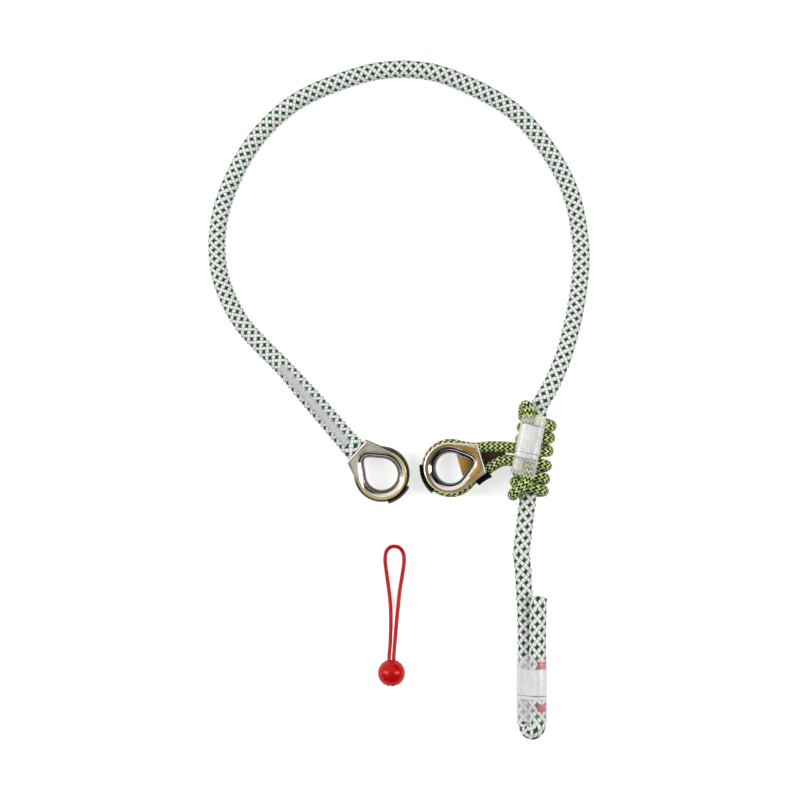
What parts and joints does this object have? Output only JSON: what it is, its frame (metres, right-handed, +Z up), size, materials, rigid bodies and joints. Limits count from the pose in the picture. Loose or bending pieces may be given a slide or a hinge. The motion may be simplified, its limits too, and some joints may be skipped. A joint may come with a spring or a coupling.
{
  "type": "cambium saver",
  "caption": "Adjustable rope cambium saver: a rope loop ends in a spliced eye with a ring, a friction hitch slides on its tail with a smaller ring, and a retrieval ball goes with it.",
  "frame": {"origin": "centre of the bounding box's bottom: the part lies flat on z = 0", "axes": "+Y along the part from the tail's fold towards the rope loop's crown, +X from the large ring's side towards the hitch, +Z up from the surface it lies on"},
  "size_m": [0.3442, 0.611, 0.049],
  "materials": {
    "white_green_rope": "braided kernmantle sheath, white with green flecks, matt",
    "coated_rope": "black protective coat over the rope in the groove, green flecks showing, satin",
    "yellow_green_cord": "braided aramid-look cord, yellow, green and black, matt",
    "champagne_alloy": "anodised warm silver with a polished bore",
    "bronze_alloy": "anodised bronze with a polished bore",
    "grey_thread": "sewn thread, matt",
    "clear_sleeve": "clear shrink tube, glossy",
    "white_label": "bare white label, satin",
    "beige_tape": "beige end wrap, satin",
    "red_tape": "red tape, satin",
    "black_rubber": "black, satin",
    "brown_rubber": "dark brown, satin",
    "red_rubber": "moulded red, glossy",
    "red_cord": "smooth red cord, satin"
  },
  "bodies": {
    "rope": {"rope_crown": "white_green_rope", "rope_right_run": "white_green_rope", "rope_hitch_stretch": "white_green_rope", "rope_tail": "white_green_rope", "tail_sleeve": "clear_sleeve", "tail_label": "white_label", "tail_mark_upper": "red_tape", "tail_mark_lower": "red_tape"},
    "eye_side": {"rope_left_run": "white_green_rope", "rope_splice": "white_green_rope", "splice_stitching": "grey_thread", "rope_eye": "coated_rope", "large_ring": "champagne_alloy", "large_ring_guard": "black_rubber"},
    "hitch": {"hitch_coil_upper": "yellow_green_cord", "hitch_coil_lower": "yellow_green_cord", "cord_end_cap_upper": "beige_tape", "cord_end_cap_lower": "beige_tape", "hitch_sleeve": "clear_sleeve", "hitch_label": "white_label", "hitch_leg_upper": "yellow_green_cord", "hitch_leg_lower": "yellow_green_cord", "leg_wedge": "brown_rubber"},
    "ring": {"small_ring": "bronze_alloy", "ring_restrictor": "bronze_alloy", "hitch_cord_eye": "yellow_green_cord", "small_ring_guard": "black_rubber", "small_throat_guard": "black_rubber"},
    "retrieval": {"retrieval_ball": "red_rubber", "retrieval_knot": "red_cord", "retrieval_cord": "red_cord"}
  },
  "joints": [
    {"name": "hitch_slide", "type": "slide", "parent": "rope", "child": "hitch", "axis": [-0.1219, -0.9925, 0], "range_m": [0, 0.035]},
    {"name": "ring_swing", "type": "hinge", "parent": "hitch", "child": "ring", "pos_m": [0.10541, -0.04897, 0.0179], "axis": [0, 0, -1], "range_deg": [-20, 35], "deforming": ["hitch_leg_upper", "hitch_leg_lower", "leg_wedge"]},
    {"name": "loop_open", "type": "hinge", "parent": "rope", "child": "eye_side", "pos_m": [0.0007, 0.2984, 0.008], "axis": [0, 0, -1], "range_deg": [0, 50], "deforming": ["rope_crown"]},
    {"name": "retrieval_lift", "type": "slide", "parent": "rope", "child": "retrieval", "axis": [0, 0, 1], "range_m": [0, 0.12]}
  ]
}
